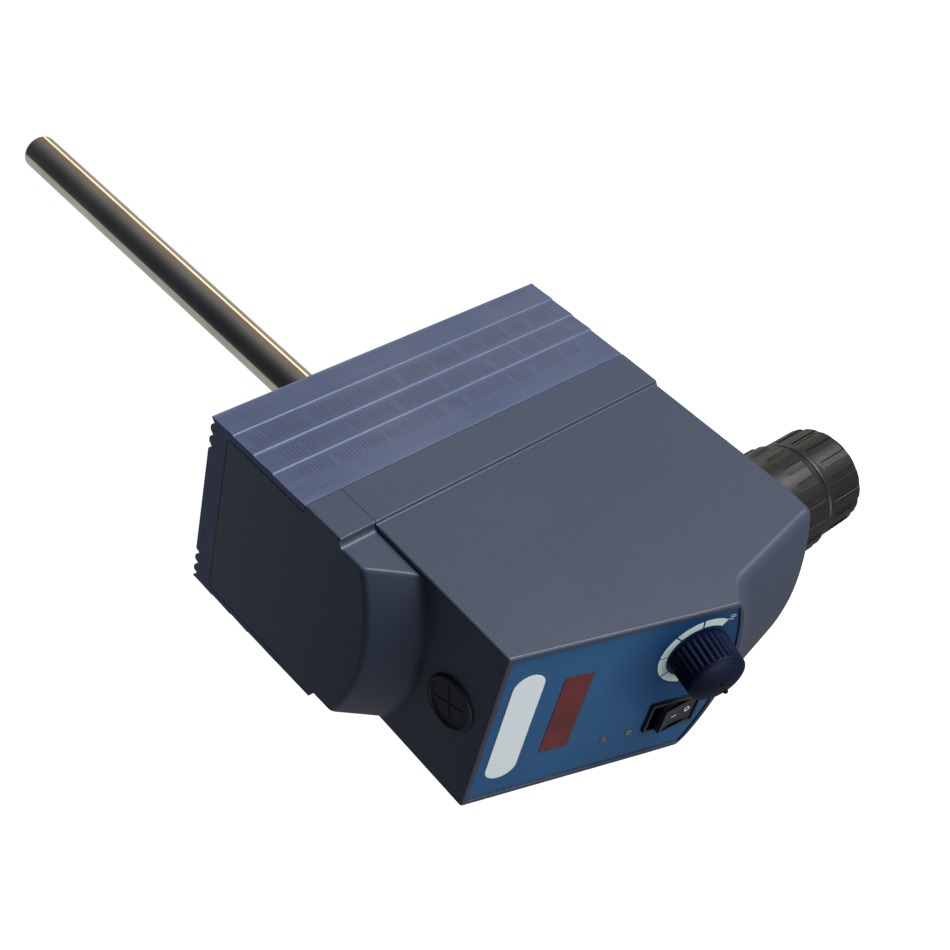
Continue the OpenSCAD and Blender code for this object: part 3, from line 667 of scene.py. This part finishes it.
# ---------------------------------------------------------------- dial figures
def figure(name, body, x, y, size, turn):
    c = bpy.data.curves.new(name, "FONT")
    c.body = body
    c.size = size
    c.extrude = 0.04
    c.align_x = "CENTER"
    c.align_y = "CENTER"
    o = bpy.data.objects.new(name, c)
    bpy.context.scene.collection.objects.link(o)
    bpy.context.view_layer.update()
    me = bpy.data.meshes.new_from_object(o.evaluated_get(bpy.context.evaluated_depsgraph_get()))
    bpy.data.objects.remove(o)
    bpy.data.curves.remove(c)
    ca, sa = math.cos(turn), math.sin(turn)
    for v in me.vertices:
        px, py = v.co.x * ca - v.co.y * sa, v.co.x * sa + v.co.y * ca
        q = on_panel(x + px, y + py, -0.57 + v.co.z)
        v.co = Vector(q) * MM
    bm = bmesh.new()
    bm.from_mesh(me)
    bmesh.ops.remove_doubles(bm, verts=bm.verts, dist=1e-6)
    bmesh.ops.recalc_face_normals(bm, faces=bm.faces)
    bm.to_mesh(me)
    bm.free()
    o = bpy.data.objects.new(name, me)
    bpy.context.scene.collection.objects.link(o)
    settle(o, [], mat=MATS["mark"], slot="print", body="stirrer_body", angle=30)


# ---------------------------------------------------------------- chuck and plug
def at_spindle(x, y, z):
    return (x, SPINDLE_Y + y, z)


def pocket(name, angle, r, depth, z0, z1, w):
    """Round-ended pocket across the wall, with a slightly dished floor."""
    ca, sa = math.cos(angle), math.sin(angle)
    outline = [(-w / 2, z0), (w / 2, z0)] + [(w / 2 * math.cos(math.pi * k / 14), z1 - w / 2 + w / 2 * math.sin(math.pi * k / 14)) for k in range(15)]
    cz = (z0 + z1) / 2

    def put(s, z, h):
        return at_spindle(h * ca - s * sa, h * sa + s * ca, z)
    rows = []
    for h, k in ((r - depth, 0.8), (r - depth + 0.12, 0.92), (r - depth + 0.3, 1.0), (r - 0.12, 1.0), (r + 0.3, 1.1), (r + 3, 1.1)):
        rows.append([put(s * k, z if k <= 1 and z < z1 - w else (z1 - w / 2 + (z - z1 + w / 2) * k if z > z1 - w else z), h) for s, z in outline])
    return loft(name, rows)


def build_chuck():
    R = 23.3
    prof = [(13.1, -95.2), (R - 3.0, -95.2), (R - 2.7, -95.25), (R - 1.75, -96.15), (R - 1.6, -96.5), (R - 1.4, -103.7), (R - 1.3, -104.1), (R - 0.1, -105.75),
            (R, -106.1), (R + 0.02, -118), (R, -129.2), (R - 0.05, -129.5), (R - 0.8, -130.5), (R - 0.9, -130.8), (R - 1.1, -133.0), (R - 1.25, -133.2),
            (17.05, -133.2), (17.05, -111.9), (13.1, -111.9), (13.1, -95.2)]
    o = lathe("chuck_ring_piece", prof, 180, lambda p: at_spindle(*p))
    carve(o, [pocket("p%d" % i, math.radians(i * 20 - 7), R, 0.8, -131.5, -117, 3.8) for i in range(18)])
    settle(o, ["chuck_ring"], angle=30)
    S = 21.8
    prof = [(17.35, -134.2), (S - 0.6, -134.2), (S - 0.45, -134.25), (S - 0.1, -134.7), (S, -135.0), (S - 0.05, -136), (S - 0.2, -137), (S - 0.3, -154.2),
            (S - 0.4, -154.9), (S - 0.65, -155.7), (S - 1.0, -156.3), (S - 1.45, -156.75), (S - 2.0, -156.9), (12.4, -156.9), (12.1, -156.6), (12.1, -154.4), (17.35, -154.4), (17.35, -134.2)]
    o = lathe("chuck_sleeve_piece", prof, 180, lambda p: at_spindle(*p))
    carve(o, [pocket("g%d" % i, math.radians(i * 20 + 1), S, 1.5, -158.5, -137.5, 3.3) for i in range(18)])
    settle(o, ["chuck_sleeve"], angle=30)


def build_plug():
    prof = [(0, 57.0), (8.9, 57.0), (9.15, 57.05), (9.3, 57.25), (9.42, 57.55), (9.6, 57.72), (9.85, 57.79), (10.15, 57.78), (10.4, 57.66), (10.6, 57.45),
            (10.75, 57.15), (10.85, 56.5), (10.9, 55.5), (8.9, 55.5), (8.9, 52.2), (9.9, 52.0), (9.9, 50.6), (9.3, 50.2), (7.6, 50.2), (7.6, 56.0), (0, 56.0)]
    o = lathe("shaft_plug_piece", prof, 144, lambda p: at_spindle(*p))
    cuts = []
    for i, a in enumerate((17, 107)):
        t = math.radians(a)
        ct, st = math.cos(t), math.sin(t)
        w, ln = 0.28, 7.4
        line = [(-ln, -w / 3), (-ln + 0.5, -w), (ln - 0.5, -w), (ln, -w / 3), (ln, w / 3), (ln - 0.5, w), (-ln + 0.5, w), (-ln, w / 3)]
        cuts.append(prism("slit%d" % i, line, lambda x, y, h, ct=ct, st=st: at_spindle(x * ct - y * st, x * st + y * ct, h), 56.35, 58))
    carve(o, cuts)
    settle(o, ["shaft_plug"], angle=30)


# ---------------------------------------------------------------- materials
def new_mat(name, base, rough, metallic=0.0, spec=0.5, coat=0.0, coat_rough=0.1):
    m = bpy.data.materials.new(name)
    m.use_nodes = True
    nt = m.node_tree
    b = nt.nodes["Principled BSDF"]
    b.inputs["Base Color"].default_value = (*base, 1)
    b.inputs["Roughness"].default_value = rough
    b.inputs["Metallic"].default_value = metallic
    b.inputs["Specular IOR Level"].default_value = spec
    b.inputs["Coat Weight"].default_value = coat
    b.inputs["Coat Roughness"].default_value = coat_rough
    return m, nt, b


def node(nt, kind, **kw):
    n = nt.nodes.new(kind)
    for k, v in kw.items():
        if k in n.inputs:
            n.inputs[k].default_value = v
        else:
            setattr(n, k, v)
    return n


def srgb(r, g, b):
    f = lambda c: (c / 255 / 12.92) if c / 255 <= 0.04045 else ((c / 255 + 0.055) / 1.055) ** 2.4
    return (f(r), f(g), f(b))


def remap(nt, src, a, b, lo, hi):
    n = node(nt, "ShaderNodeMapRange")
    n.inputs["From Min"].default_value = a
    n.inputs["From Max"].default_value = b
    n.inputs["To Min"].default_value = lo
    n.inputs["To Max"].default_value = hi
    nt.links.new(src, n.inputs["Value"])
    return n.outputs[0]


def grained(name, base, rough, grain=900.0, bump=0.08, mottle=0.12, rvar=0.08, stretch=(1, 1, 1), second=None,
            drift=28.0, edge_wear_and_highlight=0.0, specks=None, turn=(0, 0, 0), painted_shade=None, **kw):
    """Moulded, painted or drawn surface: grain, colour drift, lighter edges (wear and painted edge highlight),
    specks, painted shade round a centre, varying sheen.
    """
    m, nt, b = new_mat(name, base, rough, **kw)
    L = nt.links.new
    tc = node(nt, "ShaderNodeTexCoord")
    mp = node(nt, "ShaderNodeMapping")
    mp.inputs["Scale"].default_value = stretch
    mp.inputs["Rotation"].default_value = turn
    L(tc.outputs["Object"], mp.inputs["Vector"])
    fine = node(nt, "ShaderNodeTexNoise", Scale=grain, Detail=3.0, Roughness=0.6)
    L(mp.outputs[0], fine.inputs["Vector"])
    big = node(nt, "ShaderNodeTexNoise", Scale=drift, Detail=4.0, Roughness=0.55)
    L(tc.outputs["Object"], big.inputs["Vector"])
    col = node(nt, "ShaderNodeMix", data_type="RGBA")
    other = second or tuple(c * 1.12 for c in base)
    lo = tuple(c * (1 - mottle) for c in base)
    col.inputs[6].default_value = (*lo, 1)
    col.inputs[7].default_value = (*(c * (1 + mottle * 0.4) for c in other), 1)
    L(remap(nt, big.outputs["Fac"], 0.3, 0.7, 0.0, 1.0), col.inputs[0])
    out = col.outputs[2]
    tone = node(nt, "ShaderNodeVectorMath", operation="SCALE")
    L(out, tone.inputs[0])
    L(remap(nt, fine.outputs["Fac"], 0.25, 0.75, 1.0 - mottle * 0.5, 1.0 + mottle * 0.5), tone.inputs["Scale"])
    out = tone.outputs[0]
    if painted_shade:
        # painted shade: the colour darkens towards a centre, over a radius
        centre, radius, colour = painted_shade
        d = node(nt, "ShaderNodeVectorMath", operation="DISTANCE")
        L(tc.outputs["Object"], d.inputs[0])
        d.inputs[1].default_value = tuple(c * MM for c in centre)
        mx = node(nt, "ShaderNodeMix", data_type="RGBA")
        mx.inputs[6].default_value = (*colour, 1)
        L(out, mx.inputs[7])
        L(remap(nt, d.outputs["Value"], radius[0] * MM, radius[1] * MM, 0.0, 1.0), mx.inputs[0])
        out = mx.outputs[2]
    # lighter edges: partly wear, partly painted edge highlight standing in for light caught on lips and rounds
    if edge_wear_and_highlight > 0:
        geo = node(nt, "ShaderNodeNewGeometry")
        wear_and_highlight = remap(nt, geo.outputs["Pointiness"], 0.51, 0.56, 0.0, edge_wear_and_highlight)
        mx = node(nt, "ShaderNodeMix", data_type="RGBA")
        L(out, mx.inputs[6])
        mx.inputs[7].default_value = (*(min(1.0, c * 1.9 + 0.03) for c in base), 1)
        L(wear_and_highlight, mx.inputs[0])
        out = mx.outputs[2]
    if specks:
        scale, amount, colour = specks
        v = node(nt, "ShaderNodeTexVoronoi", Scale=scale)
        L(tc.outputs["Object"], v.inputs["Vector"])
        mx = node(nt, "ShaderNodeMix", data_type="RGBA")
        L(out, mx.inputs[6])
        mx.inputs[7].default_value = (*colour, 1)
        L(remap(nt, v.outputs["Distance"], amount * 0.6, amount, 0.6, 0.0), mx.inputs[0])
        out = mx.outputs[2]
    L(out, b.inputs["Base Color"])
    L(remap(nt, fine.outputs["Fac"], 0.25, 0.75, max(0.02, rough - rvar), min(1.0, rough + rvar)), b.inputs["Roughness"])
    bp = node(nt, "ShaderNodeBump", Strength=bump, Distance=0.0002)
    L(fine.outputs["Fac"], bp.inputs["Height"])
    L(bp.outputs[0], b.inputs["Normal"])
    return m


MATS = {}


def build_materials():
    M = MATS
    M["extrusion"] = grained("extrusion_finish", srgb(72, 83, 112), 0.44, grain=520, stretch=(1, 1, 0.05), bump=0.1, mottle=0.1,
                             second=srgb(79, 87, 112), metallic=0.3, edge_wear_and_highlight=0.22, spec=0.3)
    # cross ribs: darker than the extrusion, painted shade for the grooves between them
    M["extrusion_rib"] = grained("extrusion_rib_finish", srgb(66, 71, 96), 0.5, grain=520, bump=0.08, mottle=0.12, second=srgb(72, 71, 84), metallic=0.2, spec=0.2)
    M["housing"] = grained("housing_finish", srgb(52, 62, 82), 0.38, spec=0.42, grain=1500, bump=0.1, mottle=0.06, second=srgb(56, 64, 80), drift=14, edge_wear_and_highlight=0.05,
                           specks=(120.0, 0.02, srgb(120, 126, 135)))
    # the panel's blue darkens towards the knob: painted shade round the knob
    M["panel"] = grained("panel_finish", srgb(48, 92, 136), 0.42, spec=0.12, grain=1300, bump=0.05, mottle=0.07, second=srgb(48, 96, 139), drift=14,
                         painted_shade=(on_panel(KNOB[0], -KNOB[1] + 4, 0), (13.0, 34.0), srgb(18, 60, 104)))
    M["label"] = grained("label_finish", srgb(240, 251, 251), 0.42, spec=0.2, grain=1400, bump=0.03, mottle=0.04, second=srgb(232, 245, 247), drift=45)
    M["window"] = grained("window_finish", srgb(100, 46, 45), 0.22, spec=0.2, grain=900, bump=0.015, mottle=0.16, second=srgb(116, 50, 48), drift=60)
    M["print"] = grained("print_finish", srgb(222, 236, 226), 0.5, spec=0.2, grain=1500, bump=0.04, mottle=0.06, second=srgb(208, 224, 218), drift=90)
    M["mark"] = grained("mark_finish", srgb(205, 212, 212), 0.5, grain=1500, bump=0.03, mottle=0.08, drift=200)
    M["lens_red"] = grained("lens_red_finish", srgb(84, 74, 76), 0.2, grain=2500, bump=0.03, mottle=0.14, drift=300, coat=0.5)
    M["lens_green"] = grained("lens_green_finish", srgb(92, 112, 92), 0.2, grain=2500, bump=0.03, mottle=0.14, drift=300, coat=0.5)
    M["black_plastic"] = grained("black_plastic_finish", srgb(38, 41, 47), 0.38, spec=0.35, grain=1700, bump=0.09, mottle=0.16, second=srgb(44, 46, 51), drift=50, edge_wear_and_highlight=0.05)
    M["knob"] = grained("knob_finish", srgb(9, 17, 43), 0.42, spec=0.1, grain=1700, bump=0.07, mottle=0.12, second=srgb(12, 20, 45), drift=50, edge_wear_and_highlight=0.0)
    M["chuck_plastic"] = grained("chuck_plastic_finish", srgb(20, 21, 22), 0.36, spec=0.5, grain=1600, bump=0.12, mottle=0.14, second=srgb(27, 26, 24), drift=34, edge_wear_and_highlight=0.0)
    M["steel"] = grained("steel_finish", (0.55, 0.55, 0.56), 0.3, metallic=1.0, mottle=0.06, bump=0.05)
    M["stainless"] = grained("stainless_finish", (0.66, 0.55, 0.41), 0.1, grain=900, stretch=(1, 0.06, 1), bump=0.02, rvar=0.03, mottle=0.1, metallic=1.0, second=(0.78, 0.66, 0.5))
    M["black_steel"] = grained("black_steel_finish", srgb(48, 47, 47), 0.42, metallic=0.4, edge_wear_and_highlight=0.3)
    M["aluminium"] = grained("aluminium_finish", (0.6, 0.61, 0.63), 0.35, metallic=1.0, mottle=0.06)
    M["board"] = grained("board_finish", srgb(30, 90, 52), 0.4, grain=700, mottle=0.15)
    M["parts"] = grained("parts_finish", srgb(40, 40, 44), 0.45)
    M["laminations"] = grained("laminations_finish", srgb(140, 100, 66), 0.5, metallic=0.4, stretch=(0.1, 0.1, 4))
    M["rubber"] = grained("rubber_finish", srgb(35, 37, 41), 0.6, grain=2000, bump=0.12, mottle=0.16, drift=60, edge_wear_and_highlight=0.08)
    M["brass"] = grained("brass_finish", (0.7, 0.55, 0.28), 0.3, metallic=1.0, mottle=0.08)


def dress_nodes():
    for name, o in NODES.items():
        mat = MATS[SLOT_OF[name]]
        if not o.data.materials:
            o.data.materials.append(mat)
        for i in range(len(o.material_slots)):
            o.material_slots[i].material = mat


# ---------------------------------------------------------------- stage
def make_stage():
    me = bpy.data.meshes.new("floor")
    bm = bmesh.new()
    r = 12.0
    vs = [bm.verts.new((x, y, -1.3)) for x, y in ((-r, -r), (r, -r), (r, r), (-r, r))]
    bm.faces.new(vs)
    bm.to_mesh(me)
    bm.free()
    floor = bpy.data.objects.new("floor", me)
    bpy.context.scene.collection.objects.link(floor)
    m, nt, b = new_mat("floor_finish", (0.9, 0.9, 0.9), 0.9)
    b.inputs["Emission Color"].default_value = (1, 1, 1, 1)
    b.inputs["Emission Strength"].default_value = 0.95
    me.materials.append(m)
    floor.visible_glossy = False
    floor.visible_diffuse = False

    w = bpy.data.worlds.new("world")
    bpy.context.scene.world = w
    w.use_nodes = True
    bg = w.node_tree.nodes["Background"]
    tc = node(w.node_tree, "ShaderNodeTexCoord")
    sep = node(w.node_tree, "ShaderNodeSeparateXYZ")
    w.node_tree.links.new(tc.outputs["Generated"], sep.inputs[0])
    ramp = node(w.node_tree, "ShaderNodeValToRGB")
    stops = ((0.0, (0.15, 0.15, 0.155)), (0.33, (0.27, 0.265, 0.265)), (0.5, (0.22, 0.23, 0.25)), (0.64, (0.13, 0.15, 0.19)),
             (0.78, (0.055, 0.068, 0.1)), (0.9, (0.025, 0.03, 0.045)), (1.0, (0.018, 0.022, 0.034)))
    els = ramp.color_ramp.elements
    els[0].position, els[1].position = stops[0][0], stops[-1][0]
    els[0].color, els[1].color = (*stops[0][1], 1), (*stops[-1][1], 1)
    for pos, col in stops[1:-1]:
        els.new(pos).color = (*col, 1)
    tilt = node(w.node_tree, "ShaderNodeVectorMath", operation="DOT_PRODUCT")
    tilt.inputs[1].default_value = (0.26, 0.0, 0.966)
    w.node_tree.links.new(tc.outputs["Generated"], tilt.inputs[0])
    w.node_tree.links.new(remap(w.node_tree, tilt.outputs["Value"], -1.0, 1.0, 0.0, 1.0), ramp.inputs[0])
    # a pale wall on the far side, which a grazing look along the rod catches
    wall = node(w.node_tree, "ShaderNodeMix", data_type="RGBA")
    side = node(w.node_tree, "ShaderNodeVectorMath", operation="DOT_PRODUCT")
    side.inputs[1].default_value = (-0.726, 0.0, -0.688)
    w.node_tree.links.new(tc.outputs["Generated"], side.inputs[0])
    mask = remap(w.node_tree, side.outputs["Value"], -0.2, -0.12, 0.0, 1.0)
    for axis, lo, hi in (("X", 0.14, 0.02), ("Y", 0.46, 0.54)):
        m = node(w.node_tree, "ShaderNodeMath", operation="MULTIPLY")
        w.node_tree.links.new(mask, m.inputs[0])
        w.node_tree.links.new(remap(w.node_tree, sep.outputs[axis], lo, hi, 0.0, 1.0), m.inputs[1])
        mask = m.outputs[0]
    w.node_tree.links.new(mask, wall.inputs[0])
    w.node_tree.links.new(ramp.outputs["Color"], wall.inputs[6])
    wall.inputs[7].default_value = (0.42, 0.46, 0.5, 1)
    w.node_tree.links.new(wall.outputs[2], bg.inputs[0])
    bg.inputs[1].default_value = 1.0

    def area(name, loc, target, size, power, size_y=None, color=(1, 1, 1)):
        d = bpy.data.lights.new(name, "AREA")
        d.energy = power
        d.size = size
        d.color = color
        if size_y:
            d.shape = "RECTANGLE"
            d.size_y = size_y
        o = bpy.data.objects.new(name, d)
        o.location = loc
        back = (Vector(loc) - Vector(target)).normalized()
        along = Vector((0, 1, 0)) - back * back.y
        if along.length < 0.5:
            along = Vector((0, 0, 1)) - back * back.z
        along.normalize()
        o.rotation_euler = Matrix((along.cross(back), along, back)).transposed().to_euler()
        bpy.context.scene.collection.objects.link(o)
    area("key", (1.53, -0.4, -0.4), (0, -0.08, 0), 0.9, 37, 0.9, (1.0, 0.98, 0.95))
    area("fill", (0.1, -1.65, 0.05), (0, -0.1, 0), 0.9, 9.8, 0.9)
    area("rim", (1.14, -0.2, -1.12), (0, -0.1, -0.1), 0.4, 3.1, 0.4, (1.0, 0.98, 0.93))
    area("strip", (0.45, 1.0, -0.95), (0, 1.0, 0), 0.34, 1.7, 1.0, (1.0, 0.9, 0.66))
    bpy.context.scene.view_settings.view_transform = "Standard"
    bpy.context.scene.view_settings.look = "None"


make_camera()
build_materials()
dress_nodes()
build_housing()
build_top_cap()
build_extrusion()
build_knob()
build_rocker()
build_rod()
build_chuck()
build_plug()
figure("dial_figure", "10", 32.6, -90.3, 3.3, math.radians(-17))
refined("control_panel", 0.3)
refined("label_plate", 0.12)
refined("display_window", 0.12)
refined("dial_scale", 0.04)
refined("switch_frame", 0.12)
refined("bottom_cap", 0.3)
refined("power_inlet", 0.35)
refined("fuse_drawer", 0.3)
refined("chuck_body", 0.3)
for n in ("overload_lens", "power_lens", "chassis_screws", "housing_screws"):
    refined(n, 0.2)
for n in ("jaw_a", "jaw_b", "jaw_c", "inlet_pins", "spindle_seal"):
    refined(n, 0.15)
make_stage()
